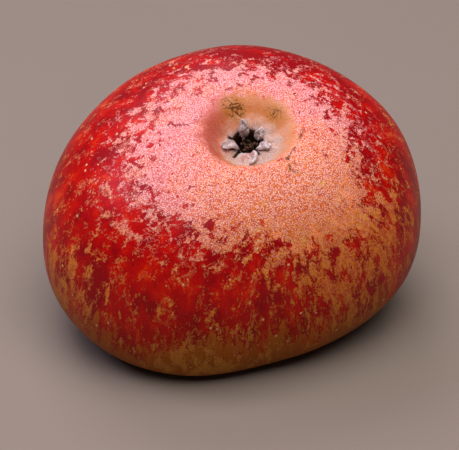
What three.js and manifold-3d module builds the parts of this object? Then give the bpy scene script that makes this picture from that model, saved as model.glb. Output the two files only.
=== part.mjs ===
// A red apple that rests on its stem end, with its dried eye leaning towards the front.
// Millimetres, +Z up. The origin is on the ground, under the middle of the fruit's outline.

import * as THREE from "three";
import { mergeVertices } from "three/addons/utils/BufferGeometryUtils.js";
import Module from "manifold-3d";

const wasm = await Module();
wasm.setup();

const { degToRad, lerp, smoothstep } = THREE.MathUtils;

// The fruit, measured from the level of its widest ring. A smaller fullness is a squarer shoulder.
const BODY_RADIUS = 37;
const CROWN_HEIGHT = 32.2;
const BASE_DEPTH = 21.7;
const CROWN_FULLNESS = 0.853;
const BASE_FULLNESS = 0.81;
const RISE_FULLNESS = 0.96;

// How far the widest ring is from a circle, as shares of its radius, and which way each bulge points
const LOPSIDED = 0.138;
const LOPSIDED_TURN = degToRad(135);
const OVAL = 0.06;
const OVAL_TURN = degToRad(23);
const THREE_SIDED = 0.023;
const THREE_SIDED_TURN = degToRad(103);
const FIVE_LOBES = 0.012;
const FIVE_LOBES_TURN = degToRad(30);
const LOBES_START = degToRad(10);
const LOBES_END = degToRad(60);
const AXIS_REACH = 10;

// The upper part leans towards the front, while the base stays level
const LEAN = degToRad(20);
const LEAN_START = degToRad(-65);
const LEAN_END = degToRad(-10);

// The basin round the eye reaches further on its near right side, and its near left wall is steeper
const BASIN_DEPTH = 4.9;
const BASIN_RADIUS = 7.7;
const BASIN_SQUARENESS = 4.6;
const BASIN_STEEPENING = 1.6;
const BASIN_STEEP_TURN = degToRad(255);
const BASIN_OFFSET = 0.22;
const BASIN_OFFSET_TURN = degToRad(306);

// The cavity round the stem
const CAVITY_DEPTH = 13;
const CAVITY_RADIUS = 9;
const CAVITY_SQUARENESS = 1.6;

// The base stands on three low flat spots of the ring round the cavity
const STAND_HEIGHT = 19.45;
const STAND_WAVE = 0.35;
const STAND_SPOTS = 3;
const STAND_TURN = degToRad(30);
const STAND_START = degToRad(-35);
const STAND_END = degToRad(-55);

// Where the core's axis stands, from the middle of the fruit's outline
const AXIS_X = 2.95;
const AXIS_Y = -2.6;

// Sockets in the fruit: a stepped one for the eye and a plain one for the stem
const EYE_RADIUS = 3.5;
const EYE_LEDGE = -2;
const TUBE_RADIUS = 2.3;
const TUBE_FLOOR = -5;
const SOCKET_RADIUS = 1.7;
const SOCKET_DEPTH = 4;
const GAP = 0.3;

// Steps of the fruit's skin: flat facets round it, and rings from one end to the other
const FACETS = 60;
const SIDE_CLIMB = degToRad(60);
const SIDE_RINGS = 19;
const END_RINGS = 10;

// The eye's collar, which the sepals grow from
const COLLAR_INSIDE = 2.2;
const COLLAR_TOP = 0.5;
const COLLAR_FACETS = 30;

// Five dried sepals: the turn that each faces, its length and width, and its tilt at root and tip
const SEPAL_ROOT = 2.75;
const SEPAL_SUNK = 1.1;
const SEPAL_THICKNESS = 0.8;
const SEPAL_CUP = 0.25;
const SEPAL_NARROWING = 0.5;
const SEPAL_STEPS = 7;
const SEPALS = [
  { turn: 106, length: 4.6, width: 2.8, rootTilt: 0, tipTilt: 28 },
  { turn: 40, length: 3.6, width: 3, rootTilt: 0, tipTilt: 56 },
  { turn: 332, length: 3.8, width: 3, rootTilt: -2, tipTilt: 66 },
  { turn: 272, length: 4.1, width: 3.8, rootTilt: -6, tipTilt: 74 },
  { turn: 205, length: 4.1, width: 3.6, rootTilt: -4, tipTilt: 52 },
];

// Dried stamens in a ring, and the styles that stand in the middle of them
const TUFT_RADIUS = 2;
const TUFT_BOTTOM = -4.7;
const TUFT_TOP = -3.4;
const THREAD_THICKNESS = 0.62;
const THREAD_SIDES = 5;
const THREAD_STEPS = 4;
const STAMENS = 11;
const STAMEN_RING = 1.25;
const STAMEN_TOP = 0.1;
const STYLES = 5;
const STYLE_RING = 0.45;
const STYLE_TOP = -0.4;

// The short woody stem, widest at the end where it left the tree
const STEM_RADIUS = 1.25;
const STEM_END_RADIUS = 1.9;
const STEM_LENGTH = 11.6;
const STEM_BEND = 1.4;
const STEM_SIDES = 14;
const STEM_STEPS = 8;

// A closed surface through rings of points that run anticlockwise about the way from start to end
function loft(start, rings, end) {
  const count = rings[0].length;
  const points = [start, ...rings.flat(), end];
  const last = points.length - 1;
  const at = (ring, step) => 1 + ring * count + (step % count);
  const index = [];
  for (let step = 0; step < count; step++) {
    index.push(0, at(0, step + 1), at(0, step));
    index.push(last, at(rings.length - 1, step), at(rings.length - 1, step + 1));
    for (let ring = 0; ring + 1 < rings.length; ring++) {
      index.push(at(ring, step), at(ring, step + 1), at(ring + 1, step + 1));
      index.push(at(ring, step), at(ring + 1, step + 1), at(ring + 1, step));
    }
  }
  return new THREE.BufferGeometry().setFromPoints(points).setIndex(index);
}

// A geometry as a solid that can be joined to another
function solidOf(geometry) {
  const bare = geometry.clone();
  bare.deleteAttribute("normal");
  bare.deleteAttribute("uv");
  const merged = mergeVertices(bare, 1e-3);
  const vertProperties = new Float32Array(merged.attributes.position.array);
  const triVerts = new Uint32Array(merged.index.array);
  return new wasm.Manifold(new wasm.Mesh({ numProp: 3, vertProperties, triVerts }));
}

// Several geometries joined into one
function fused(geometries) {
  const { vertProperties, triVerts } = geometries
    .map(solidOf)
    .reduce((whole, piece) => whole.add(piece))
    .getMesh();
  return new THREE.BufferGeometry()
    .setAttribute("position", new THREE.BufferAttribute(vertProperties, 3))
    .setIndex(new THREE.BufferAttribute(triVerts, 1));
}

function evenly(from, to, count) {
  return Array.from({ length: count }, (_, step) => lerp(from, to, step / (count - 1)));
}

function turned(distance, turn, height) {
  return new THREE.Vector3(distance * Math.cos(turn), distance * Math.sin(turn), height);
}

function ringOf(count, pointAt) {
  return Array.from({ length: count }, (_, step) => pointAt((2 * Math.PI * step) / count));
}

// The same small numbers each time, between 0 and 1
let seed = 11;
function random() {
  seed = (seed * 16807) % 2147483647;
  return seed / 2147483647;
}

// The lean at a climb, which is the angle from the widest ring: -90 degrees at the base, 90 at the crown
function leanAt(climb) {
  return LEAN * smoothstep(climb, LEAN_START, LEAN_END);
}

function basinDepth(turn, distance) {
  const radius = BASIN_RADIUS * (1 + BASIN_OFFSET * Math.cos(turn - BASIN_OFFSET_TURN));
  const squareness = BASIN_SQUARENESS + BASIN_STEEPENING * Math.cos(turn - BASIN_STEEP_TURN);
  return BASIN_DEPTH * Math.exp(-((distance / radius) ** squareness));
}

function cavityDepth(distance) {
  return CAVITY_DEPTH * Math.exp(-((distance / CAVITY_RADIUS) ** CAVITY_SQUARENESS));
}

// How much wider than a circle the fruit is at a turn. Near the axis it is round.
function outline(turn, climb, distance) {
  const lobes = FIVE_LOBES * smoothstep(climb, LOBES_START, LOBES_END);
  const bulge =
    LOPSIDED * Math.cos(turn - LOPSIDED_TURN) +
    OVAL * Math.cos(2 * (turn - OVAL_TURN)) +
    THREE_SIDED * Math.cos(3 * (turn - THREE_SIDED_TURN)) +
    lobes * Math.cos(5 * (turn - FIVE_LOBES_TURN));
  return 1 + bulge * (1 - Math.exp(-((distance / AXIS_REACH) ** 2)));
}

// A point in the fruit's own axes, leaned as the fruit is at that climb and stood on the ground
function standing(point, climb) {
  point.applyAxisAngle(new THREE.Vector3(1, 0, 0), leanAt(climb));
  point.z = Math.max(0, point.z + STAND_HEIGHT);
  return point;
}

function crownHeight(turn, climb, distance) {
  return CROWN_HEIGHT * Math.sin(climb) ** RISE_FULLNESS - basinDepth(turn, distance);
}

function baseHeight(turn, climb, distance) {
  const wave = STAND_WAVE * smoothstep(-climb, -STAND_START, -STAND_END);
  return (
    cavityDepth(distance) -
    BASE_DEPTH * Math.sin(-climb) ** RISE_FULLNESS -
    wave * Math.cos(STAND_SPOTS * (turn - STAND_TURN))
  );
}

// The skin at a turn and a climb
function skinPoint(turn, climb) {
  const fullness = climb > 0 ? CROWN_FULLNESS : BASE_FULLNESS;
  const distance = BODY_RADIUS * Math.cos(climb) ** fullness;
  const height = climb > 0 ? crownHeight(turn, climb, distance) : baseHeight(turn, climb, distance);
  return standing(turned(distance * outline(turn, climb, distance), turn, height), climb);
}

// The climb at which the skin is a given distance from the axis
function climbAt(distance, fullness) {
  return Math.acos((distance / BODY_RADIUS) ** (1 / fullness));
}

function endClimbs(fullness, nearest) {
  const furthest = BODY_RADIUS * Math.cos(SIDE_CLIMB) ** fullness;
  return evenly(nearest, furthest, END_RINGS + 1)
    .slice(0, END_RINGS)
    .map((distance) => climbAt(distance, fullness));
}

// The eye's own level is the bottom of the basin, and the stem's is the top of its cavity
const EYE_LEVEL = CROWN_HEIGHT - BASIN_DEPTH;
const STEM_LEVEL = CAVITY_DEPTH - BASE_DEPTH;
const CROWN_POLE = degToRad(90);
const BASE_POLE = degToRad(-90);

function eyePoint(distance, turn, height) {
  return standing(turned(distance, turn, EYE_LEVEL + height), CROWN_POLE);
}

function stemPoint(distance, turn, height) {
  return standing(turned(distance, turn, STEM_LEVEL + height), BASE_POLE);
}

function fruit() {
  const climbs = [
    ...endClimbs(BASE_FULLNESS, SOCKET_RADIUS).map((climb) => -climb),
    ...evenly(-SIDE_CLIMB, SIDE_CLIMB, SIDE_RINGS),
    ...endClimbs(CROWN_FULLNESS, EYE_RADIUS).reverse(),
  ];
  const stemRings = [ringOf(FACETS, (turn) => stemPoint(SOCKET_RADIUS, turn, SOCKET_DEPTH))];
  const skinRings = climbs.map((climb) => ringOf(FACETS, (turn) => skinPoint(turn, climb)));
  const eyeRings = [
    ringOf(FACETS, (turn) => eyePoint(EYE_RADIUS, turn, EYE_LEDGE)),
    ringOf(FACETS, (turn) => eyePoint(TUBE_RADIUS, turn, EYE_LEDGE)),
    ringOf(FACETS, (turn) => eyePoint(TUBE_RADIUS, turn, TUBE_FLOOR)),
  ];
  return loft(
    stemPoint(0, 0, SOCKET_DEPTH),
    [...stemRings, ...skinRings, ...eyeRings],
    eyePoint(0, 0, TUBE_FLOOR),
  );
}

// A ring in the eye's socket, round the mouth of the tube
function collar() {
  const outside = EYE_RADIUS - GAP;
  const bottom = EYE_LEDGE + GAP;
  const profile = [
    new THREE.Vector2(COLLAR_INSIDE, bottom),
    new THREE.Vector2(outside, bottom),
    new THREE.Vector2(outside, COLLAR_TOP - 0.4),
    new THREE.Vector2((COLLAR_INSIDE + outside) / 2, COLLAR_TOP),
    new THREE.Vector2(COLLAR_INSIDE, COLLAR_TOP - 0.5),
    new THREE.Vector2(COLLAR_INSIDE, bottom),
  ];
  return new THREE.LatheGeometry(profile, COLLAR_FACETS).rotateX(degToRad(90));
}

// One sepal: a cupped blade that grows up out of the collar and curls away from the eye
function sepal({ turn, length, width, rootTilt, tipTilt }) {
  const step = length / SEPAL_STEPS;
  const rings = [];
  let distance = SEPAL_ROOT;
  let height = -SEPAL_SUNK;
  for (let ring = 0; ring <= SEPAL_STEPS; ring++) {
    const along = ring / SEPAL_STEPS;
    const tilt = degToRad(lerp(rootTilt, tipTilt, along));
    const half = (width / 2) * (1 - SEPAL_NARROWING * along) * Math.sqrt(1.02 - along ** 4);
    const thick = (SEPAL_THICKNESS / 2) * (1 - 0.3 * along);
    const section = [
      [-1, 0],
      [-0.5, thick],
      [0.5, thick],
      [1, 0],
      [0.5, -thick],
      [-0.5, -thick],
    ];
    rings.push(
      section.map(([side, out]) => {
        const cupped = out - SEPAL_CUP * along * side ** 2;
        const away = distance + cupped * Math.cos(tilt);
        return turned(away, (side * half) / distance, height - cupped * Math.sin(tilt));
      }),
    );
    distance += step * Math.sin(tilt);
    height += step * Math.cos(tilt);
  }
  const middle = (ring) =>
    ring.reduce((sum, point) => sum.add(point), new THREE.Vector3()).divideScalar(ring.length);
  return loft(middle(rings[0]), rings, middle(rings.at(-1))).rotateZ(degToRad(turn));
}

function calyx() {
  return fused([collar(), ...SEPALS.map(sepal)]);
}

// A dried thread from a root to a tip, thinner towards the tip, with a bow sideways
function thread(root, tip, bow) {
  const rings = evenly(0, 1, THREAD_STEPS + 1).map((along) => {
    const centre = root.clone().lerp(tip, along).addScaledVector(bow, Math.sin(Math.PI * along));
    const radius = (THREAD_THICKNESS / 2) * (1 - 0.35 * along);
    return ringOf(THREAD_SIDES, (turn) => turned(radius, turn, 0).add(centre));
  });
  return loft(root, rings, tip);
}

function threadAt(turn, ring, top) {
  const root = turned(ring, turn, lerp(TUFT_BOTTOM, TUFT_TOP, 0.5));
  const reach = ring * lerp(0.85, 1.15, random());
  const tip = turned(reach, turn + lerp(-0.15, 0.15, random()), top - 0.7 * random());
  const bow = turned(0.12 * random(), turn, 0);
  return thread(root, tip, bow);
}

// The stamens and the styles, standing out of the dried pad at the bottom of the tube
function tuft() {
  const pad = new THREE.LatheGeometry(
    [
      new THREE.Vector2(0, TUFT_BOTTOM),
      new THREE.Vector2(TUFT_RADIUS, TUFT_BOTTOM),
      new THREE.Vector2(TUFT_RADIUS, TUFT_TOP - 0.5),
      new THREE.Vector2(TUFT_RADIUS / 2, TUFT_TOP),
      new THREE.Vector2(0, TUFT_TOP + 0.1),
    ],
    STAMENS * 2,
  ).rotateX(degToRad(90));
  const stamens = ringOf(STAMENS, (turn) => threadAt(turn, STAMEN_RING, STAMEN_TOP));
  const styles = ringOf(STYLES, (turn) => threadAt(turn, STYLE_RING, STYLE_TOP));
  return fused([pad, ...stamens, ...styles]);
}

// The stem hangs in its socket, bends a little and spreads at its broken end
function stem() {
  const top = SOCKET_DEPTH - GAP;
  const rings = evenly(1, 0, STEM_STEPS + 1).map((along) => {
    const spread = smoothstep(along, 0.65, 1);
    const radius = lerp(STEM_RADIUS, STEM_END_RADIUS, spread);
    const sideways = STEM_BEND * smoothstep(along, 0.35, 1);
    return ringOf(STEM_SIDES, (turn) =>
      turned(radius, turn, top - STEM_LENGTH * along).add(new THREE.Vector3(sideways, 0, 0)),
    );
  });
  const centre = (height, sideways) => new THREE.Vector3(sideways, 0, height);
  return loft(centre(top - STEM_LENGTH, STEM_BEND), rings, centre(top, 0));
}

function named(name, geometry, color, roughness) {
  const material = new THREE.MeshStandardMaterial({ color, roughness, metalness: 0 });
  const mesh = new THREE.Mesh(geometry, material);
  mesh.name = name;
  return mesh;
}

// The eye's pieces stand in the leaning crown, and the stem in the level base
const eye = new THREE.Group();
eye.position.copy(eyePoint(0, 0, 0));
eye.rotation.x = LEAN;
eye.add(named("calyx_sepals", calyx(), 0x9b8f80, 0.95));
eye.add(named("stamen_tuft", tuft(), 0x3a2614, 0.95));

const stalk = new THREE.Group();
stalk.position.copy(stemPoint(0, 0, 0));
stalk.add(named("stem", stem(), 0x6b4a2c, 0.85));

const apple = new THREE.Group();
apple.position.set(AXIS_X, AXIS_Y, 0);
apple.add(named("fruit_body", fruit(), 0xb5302a, 0.4));
apple.add(eye);
apple.add(stalk);

export default apple;
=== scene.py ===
# %% [markdown]
# # A ripe red apple
# The apple rests on its stem end, and its dried eye leans towards the front. The solid model from the
# workshop is the fixed frame. Every piece below is made in its place, in metres, with +Z up and the
# ground at zero. Lengths in this file are written in millimetres and turned into metres once.

# %% Load the solid model
import random
from math import asin, atan2, cos, degrees, exp, pi, radians, sin, sqrt

import bpy
from mathutils import Matrix, Vector, noise


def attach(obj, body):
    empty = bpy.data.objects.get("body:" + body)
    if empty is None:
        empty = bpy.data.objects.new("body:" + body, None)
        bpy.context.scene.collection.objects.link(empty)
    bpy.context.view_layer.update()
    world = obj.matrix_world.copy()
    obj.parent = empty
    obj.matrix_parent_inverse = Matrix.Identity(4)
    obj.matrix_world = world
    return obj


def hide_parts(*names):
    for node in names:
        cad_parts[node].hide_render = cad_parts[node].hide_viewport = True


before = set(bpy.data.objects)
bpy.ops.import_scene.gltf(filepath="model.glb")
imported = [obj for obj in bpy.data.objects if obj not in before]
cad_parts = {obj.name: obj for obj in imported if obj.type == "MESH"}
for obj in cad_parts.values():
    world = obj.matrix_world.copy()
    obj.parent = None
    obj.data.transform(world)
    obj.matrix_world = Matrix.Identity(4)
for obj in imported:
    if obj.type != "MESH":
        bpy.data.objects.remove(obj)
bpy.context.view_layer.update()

MM = 0.001

# %% [markdown]
# ## The camera
# A long lens from a little under half a metre shows the apple as a still life is shot: nearly without
# perspective, from about 31 degrees above the table. A long lens is chosen over a near wide one
# because a wide lens would swell the front of the fruit.

# %% Place the camera
CAMERA_PLACE = Vector((2.95, -388.35, 256.92)) * MM
CAMERA_AIM = Vector((-0.63, -4.62, 21.83)) * MM
LENS = 174
SENSOR_WIDTH = 36


def aimed(thing, place, aim):
    thing.location = place
    thing.rotation_euler = (aim - place).to_track_quat("-Z", "Y").to_euler()
    bpy.context.scene.collection.objects.link(thing)
    return thing


lens = bpy.data.cameras.new("camera")
lens.lens = LENS
lens.sensor_width = SENSOR_WIDTH
camera = aimed(bpy.data.objects.new("camera", lens), CAMERA_PLACE, CAMERA_AIM)
bpy.context.scene.camera = camera
print("camera to apple, mm:", round((CAMERA_AIM - CAMERA_PLACE).length / MM))

# %% [markdown]
# ## The shape of the fruit
# An apple is a ball with a dimple at each end, a little wider on one side, and squarer at the shoulders
# than a ball. It could be sculpted by hand, but the solid model already says how far each bulge goes.
# So the same rule is used here, and the fine skin lies on the solid. A point on the skin has a turn
# round the core and a climb, which is -90 degrees at the stem, 0 at the girdle and 90 at the eye.


# %% Soft steps
def smoothstep(value, start, end):
    """0 before start, 1 after end, and a soft slide from one to the other."""
    share = min(1, max(0, (value - start) / (end - start)))
    return share * share * (3 - 2 * share)


def degrees_step(climb, start, end):
    return smoothstep(degrees(climb), start, end)


print("a quarter of the way gives", smoothstep(1, 0, 4))

# %% How far the skin is from the core
BODY_RADIUS = 37
CROWN_FULLNESS = 0.853
BASE_FULLNESS = 0.81
# Each bulge: how many there are round the fruit, their share of the radius, and the turn of the first.
BULGES = [(1, 0.138, 135), (2, 0.06, 23), (3, 0.023, 103)]
CROWN_LOBES = (5, 0.012, 30)
LOBES_EDGE = (10, 60)


def distance_at(climb):
    """How far from its core a fruit without bulges reaches."""
    fullness = CROWN_FULLNESS if climb > 0 else BASE_FULLNESS
    return BODY_RADIUS * max(0, cos(climb)) ** fullness


def bulge(turn, climb):
    """The share of its radius that the fruit is wider by."""
    lobes, size, towards = CROWN_LOBES
    wider = degrees_step(climb, *LOBES_EDGE) * size
    wider *= cos(lobes * (turn - radians(towards)))
    for waves, share, way in BULGES:
        wider += share * cos(waves * (turn - radians(way)))
    return wider


print("bulges:", len(BULGES), "lobes of the crown:", CROWN_LOBES[0])

# %% How high the skin is, with the dimples
CROWN_HEIGHT = 32.2
BASE_DEPTH = 21.7
RISE_FULLNESS = 0.96
BASIN_DEPTH = 4.9
BASIN_RADIUS = 7.7
BASIN_SQUARENESS = 4.6
BASIN_STEEPENING = 1.6
BASIN_STEEP_TURN = radians(255)
BASIN_OFFSET = 0.22
BASIN_OFFSET_TURN = radians(306)
TUBE_RADIUS = 3.1
TUBE_THROAT = 1.9
TUBE_DEPTH = 4.2
CAVITY_DEPTH = 13
CAVITY_RADIUS = 9
CAVITY_SQUARENESS = 1.6
STAND_SPOTS = 3
STAND_WAVE = 0.35
STAND_WAVE_EDGE = (35, 55)
STAND_TURN = radians(30)


def basin_depth(turn, distance):
    radius = BASIN_RADIUS * (1 + BASIN_OFFSET * cos(turn - BASIN_OFFSET_TURN))
    squareness = BASIN_SQUARENESS + BASIN_STEEPENING * cos(turn - BASIN_STEEP_TURN)
    tube = TUBE_DEPTH * smoothstep(distance, TUBE_RADIUS, TUBE_THROAT)
    return BASIN_DEPTH * exp(-((distance / radius) ** squareness)) + tube


def cavity_depth(distance):
    return CAVITY_DEPTH * exp(-((distance / CAVITY_RADIUS) ** CAVITY_SQUARENESS))


def height_at(turn, climb, distance):
    """How far above the girdle the skin is, before the fruit leans."""
    if climb > 0:
        return CROWN_HEIGHT * sin(climb) ** RISE_FULLNESS - basin_depth(turn, distance)
    wave = STAND_WAVE * degrees_step(-climb, *STAND_WAVE_EDGE)
    wave *= cos(STAND_SPOTS * (turn - STAND_TURN))
    return cavity_depth(distance) - BASE_DEPTH * sin(-climb) ** RISE_FULLNESS - wave


print("basin, mm deep at its middle:", round(basin_depth(0, TUBE_RADIUS), 1))

# %% Lean the fruit and stand it on the ground
LEAN = radians(20)
LEAN_EDGE = (-65, -10)
STAND_HEIGHT = 19.45
AXIS = Vector((2.95, -2.6, 0))
AXIS_REACH = 10


def standing(point, climb):
    lean = LEAN * degrees_step(climb, *LEAN_EDGE)
    stood = Matrix.Rotation(lean, 3, "X") @ point + AXIS
    stood.z = max(0, stood.z + STAND_HEIGHT)
    return stood


def skin_point(turn, climb):
    """The place of the skin in millimetres. Close to the core the bulges die away."""
    distance = distance_at(climb)
    wide = 1 + bulge(turn, climb) * (1 - exp(-((distance / AXIS_REACH) ** 2)))
    height = height_at(turn, climb, distance)
    away = distance * wide
    return standing(Vector((away * cos(turn), away * sin(turn), height)), climb)


EYE_FLOOR = standing(Vector((0, 0, CROWN_HEIGHT - BASIN_DEPTH)), radians(90))
EYE_WAY = Matrix.Translation(EYE_FLOOR) @ Matrix.Rotation(LEAN, 4, "X")
STEM_ROOT = standing(Vector((0, 0, CAVITY_DEPTH - BASE_DEPTH)), radians(-90))
print("eye floor, mm:", [round(x, 1) for x in EYE_FLOOR])

# %% [markdown]
# ## The skin as a mesh
# A ball primitive is the start, because its rings run as the levels of the fruit do and its other lines
# run from stem to eye, as the streaks of an apple do. Each ring is then pushed to its level. The levels
# are spaced evenly along the skin, so that the dimples get as many rings for their size as the sides.

# %% Space the levels evenly along the skin
AROUND = 288
LEVELS = 240
PROFILE_STEPS = 4000


def even_levels():
    """The climb of every level, and the length of the skin from stem to eye."""
    climbs = [radians(-90 + 180 * step / PROFILE_STEPS) for step in range(PROFILE_STEPS + 1)]
    lengths = [0]
    last = None
    for climb in climbs:
        distance = distance_at(climb)
        here = Vector((distance, height_at(0, climb, distance)))
        if last is not None:
            lengths.append(lengths[-1] + (here - last).length)
        last = here
    whole = lengths[-1]
    found = []
    step = 0
    for level in range(LEVELS + 1):
        while step < PROFILE_STEPS and lengths[step] < whole * level / LEVELS:
            step += 1
        found.append(climbs[step])
    return found, whole


level_climbs, skin_length = even_levels()
print("skin from stem to eye, mm:", round(skin_length))

# %% [markdown]
# ## Small rises of the skin
# A real skin is never as smooth as a lathe would make it. Slow lumps run over the whole fruit, puckers
# gather round the eye, the felted floor swells between its slits, and a short crack has opened beside
# the basin. They could be painted as false shade, but real rises also show in the outline and when the
# light moves.

# %% Lumps, puckers, felt and crack
LUMP_SIZE = 15
LUMP_HEIGHT = 0.35
LUMPS_EDGE = (-40, -10)
# Each set of puckers: how many there are round the eye, their share of the height, and their shift.
PUCKERS = [(5, 0.45, 1.9), (9, 0.3, 0.4), (14, 0.25, 5.0)]
PUCKER_HEIGHT = 0.22
PUCKER_START, PUCKER_FULL, PUCKER_FADE, PUCKER_END = 3.3, 5.5, 7.5, 13
FELT_SWELL = 0.6
FELT_RISE = 0.7
FELT_EDGE = (4, 6.2)
FELT_EVENNESS = 0.8
FELT_LUMPINESS = 0.8
FELT_LUMPS_PER_MM = 0.8
# Each slit of the eye: its turn in degrees, and how far out it reaches.
SLITS = [(235, 5.0), (164, 4.3), (355, 4.2), (306, 4.3)]
SLIT_SHARPNESS = 60
CRACK_TURN = radians(-44)
CRACK_START, CRACK_END = 11.4, 15.8
CRACK_FADE = 0.6
CRACK_WALL = (0.1, 0.7)
CRACK_DEPTH = 0.35


def turn_apart(turn, other):
    """The angle between two turns, never more than half a round."""
    return abs((turn - other + pi) % (2 * pi) - pi)


def relief(turn, climb, point):
    """The small rises of the skin, in millimetres outwards."""
    rise = LUMP_HEIGHT * noise.noise(point / LUMP_SIZE)
    rise *= degrees_step(climb, *LUMPS_EDGE)
    if climb <= 0:
        return rise
    distance = distance_at(climb)
    folds = sum(share * cos(waves * turn + shift) for waves, share, shift in PUCKERS)
    band = smoothstep(distance, PUCKER_START, PUCKER_FULL)
    band *= 1 - smoothstep(distance, PUCKER_FADE, PUCKER_END)
    rise += PUCKER_HEIGHT * folds * band
    felt = smoothstep(distance, TUBE_RADIUS, TUBE_RADIUS + FELT_RISE)
    felt *= 1 - smoothstep(distance, *FELT_EDGE)
    slit = max(max(0, cos(turn - radians(row[0]))) ** SLIT_SHARPNESS for row in SLITS)
    lumps = FELT_LUMPINESS * noise.noise(point * FELT_LUMPS_PER_MM)
    rise += FELT_SWELL * felt * (FELT_EVENNESS + lumps - slit)
    along = smoothstep(distance, CRACK_START, CRACK_START + CRACK_FADE)
    along *= 1 - smoothstep(distance, CRACK_END - CRACK_FADE, CRACK_END)
    aside = turn_apart(turn, CRACK_TURN) * distance
    rise -= CRACK_DEPTH * along * (1 - smoothstep(aside, *CRACK_WALL))
    return rise


print("sets of puckers:", len(PUCKERS), "slits:", len(SLITS))


# %% Helpers for new pieces
def deselect_all():
    for thing in bpy.context.selected_objects:
        thing.select_set(False)


def only(thing):
    deselect_all()
    thing.select_set(True)
    bpy.context.view_layer.objects.active = thing


def mode(name):
    bpy.ops.object.mode_set(mode=name)


def new_primitive(name, operator, **settings):
    deselect_all()
    operator(**settings)
    made = bpy.context.object
    made.name = name
    made.data.name = name
    return made


def triangle_count(thing):
    return sum(len(face.vertices) - 2 for face in thing.data.polygons)


# %% Push a ball primitive into the fruit
fruit = new_primitive(
    "apple_skin", bpy.ops.mesh.primitive_uv_sphere_add, segments=AROUND, ring_count=LEVELS, radius=1
)
turns_and_levels = []
for vertex in fruit.data.vertices:
    turn = atan2(vertex.co.y, vertex.co.x) % (2 * pi)
    latitude = asin(max(-1, min(1, vertex.co.z)))
    level = round((degrees(latitude) + 90) / 180 * LEVELS)
    turns_and_levels.append((turn, level))

# Every vertex keeps its way: how far it is from the core, sideways and forwards, and how far along the
# skin it is from the stem. The colours follow it.
skin_way = fruit.data.attributes.new("skin_way", "FLOAT_VECTOR", "POINT")
for vertex, way, (turn, level) in zip(fruit.data.vertices, skin_way.data, turns_and_levels):
    climb = level_climbs[level]
    point = skin_point(turn, climb)
    outwards = (point - AXIS - Vector((0, 0, STAND_HEIGHT))).normalized()
    vertex.co = (point + outwards * relief(turn, climb, point)) * MM
    vertex.co.z = max(0, vertex.co.z)
    distance = distance_at(climb)
    along = skin_length * level / LEVELS
    way.vector = (distance * cos(turn), distance * sin(turn), along)
only(fruit)
bpy.ops.object.shade_smooth()
fruit.data.update()
print("skin triangles:", triangle_count(fruit))

# %% [markdown]
# ## Colour helpers
# Paint mixers work with the colours that we see, but the shader wants light. `paint` turns a colour
# written as six hexadecimal digits into light. `put` adds one node and joins its inputs. `ramp` makes a
# soft border out of a value, `blend` lays one colour over another, and `cloud` is a patchy noise.


# %% Helpers that add nodes
def paint(code):
    parts = [int(code[place : place + 2], 16) / 255 for place in (0, 2, 4)]
    linear = [p / 12.92 if p <= 0.04045 else ((p + 0.055) / 1.055) ** 2.4 for p in parts]
    return (*linear, 1)


def join(tree, value, socket):
    if isinstance(value, bpy.types.NodeSocket):
        tree.links.new(value, socket)
    else:
        socket.default_value = value


def put(tree, kind, inputs=(), **settings):
    made = tree.nodes.new("ShaderNode" + kind)
    for name, value in settings.items():
        setattr(made, name, value)
    for name, value in dict(inputs).items():
        join(tree, value, made.inputs[name])
    return made


def calc(tree, operation, *values):
    return put(tree, "Math", dict(enumerate(values)), operation=operation).outputs[0]


def times(tree, *values):
    found = values[0]
    for value in values[1:]:
        found = calc(tree, "MULTIPLY", found, value)
    return found


def vector_calc(tree, operation, first, second, output="Vector"):
    return put(tree, "VectorMath", {0: first, 1: second}, operation=operation).outputs[output]


def ramp(tree, value, start, end, low=0, high=1):
    """Slides from low to high while the value goes from start to end, and stays flat outside."""
    inputs = {"Value": value, "From Min": start, "From Max": end, "To Min": low, "To Max": high}
    return put(tree, "MapRange", inputs, interpolation_type="SMOOTHSTEP").outputs["Result"]


def blend(tree, share, below, above):
    made = put(tree, "Mix", data_type="RGBA")
    for name, value in (("Factor_Float", share), ("A_Color", below), ("B_Color", above)):
        join(tree, value, next(s for s in made.inputs if s.identifier == name))
    return next(s for s in made.outputs if s.identifier == "Result_Color")


# %% Helpers for noise, places and finishes
def stretched(tree, way, scale):
    return put(tree, "Mapping", {"Vector": way, "Scale": scale}).outputs["Vector"]


def cloud(tree, way, scale, detail=4, roughness=0.55, distortion=0):
    """Soft patches round a half. Scale counts them in one unit of the way."""
    inputs = {"Vector": way, "Scale": scale, "Detail": detail, "Roughness": roughness}
    inputs["Distortion"] = distortion
    return put(tree, "TexNoise", inputs).outputs["Fac"]


def from_dots(tree, way, scale):
    """How far each place is from the nearest of many scattered dots."""
    return put(tree, "TexVoronoi", {"Vector": way, "Scale": scale}).outputs["Distance"]


def millimetre_place(tree):
    """The place on the piece, counted in millimetres."""
    here = put(tree, "TexCoord").outputs["Object"]
    return stretched(tree, here, (1 / MM, 1 / MM, 1 / MM))


def stored(tree, name):
    """A number that the vertices of the piece keep."""
    return put(tree, "Attribute", attribute_name=name).outputs["Fac"]


def new_material(name):
    made = bpy.data.materials.new(name)
    made.use_nodes = True
    made.node_tree.nodes.clear()
    return made, made.node_tree


def finish(thing, material, inputs):
    """Gives the material its surface, and gives the material to the piece."""
    tree = material.node_tree
    shader = put(tree, "BsdfPrincipled", inputs)
    put(tree, "OutputMaterial", {"Surface": shader.outputs["BSDF"]})
    thing.data.materials.clear()
    thing.data.materials.append(material)


def bumped(tree, height, distance_mm):
    return put(tree, "Bump", {"Height": height, "Distance": distance_mm * MM}).outputs["Normal"]
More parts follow.
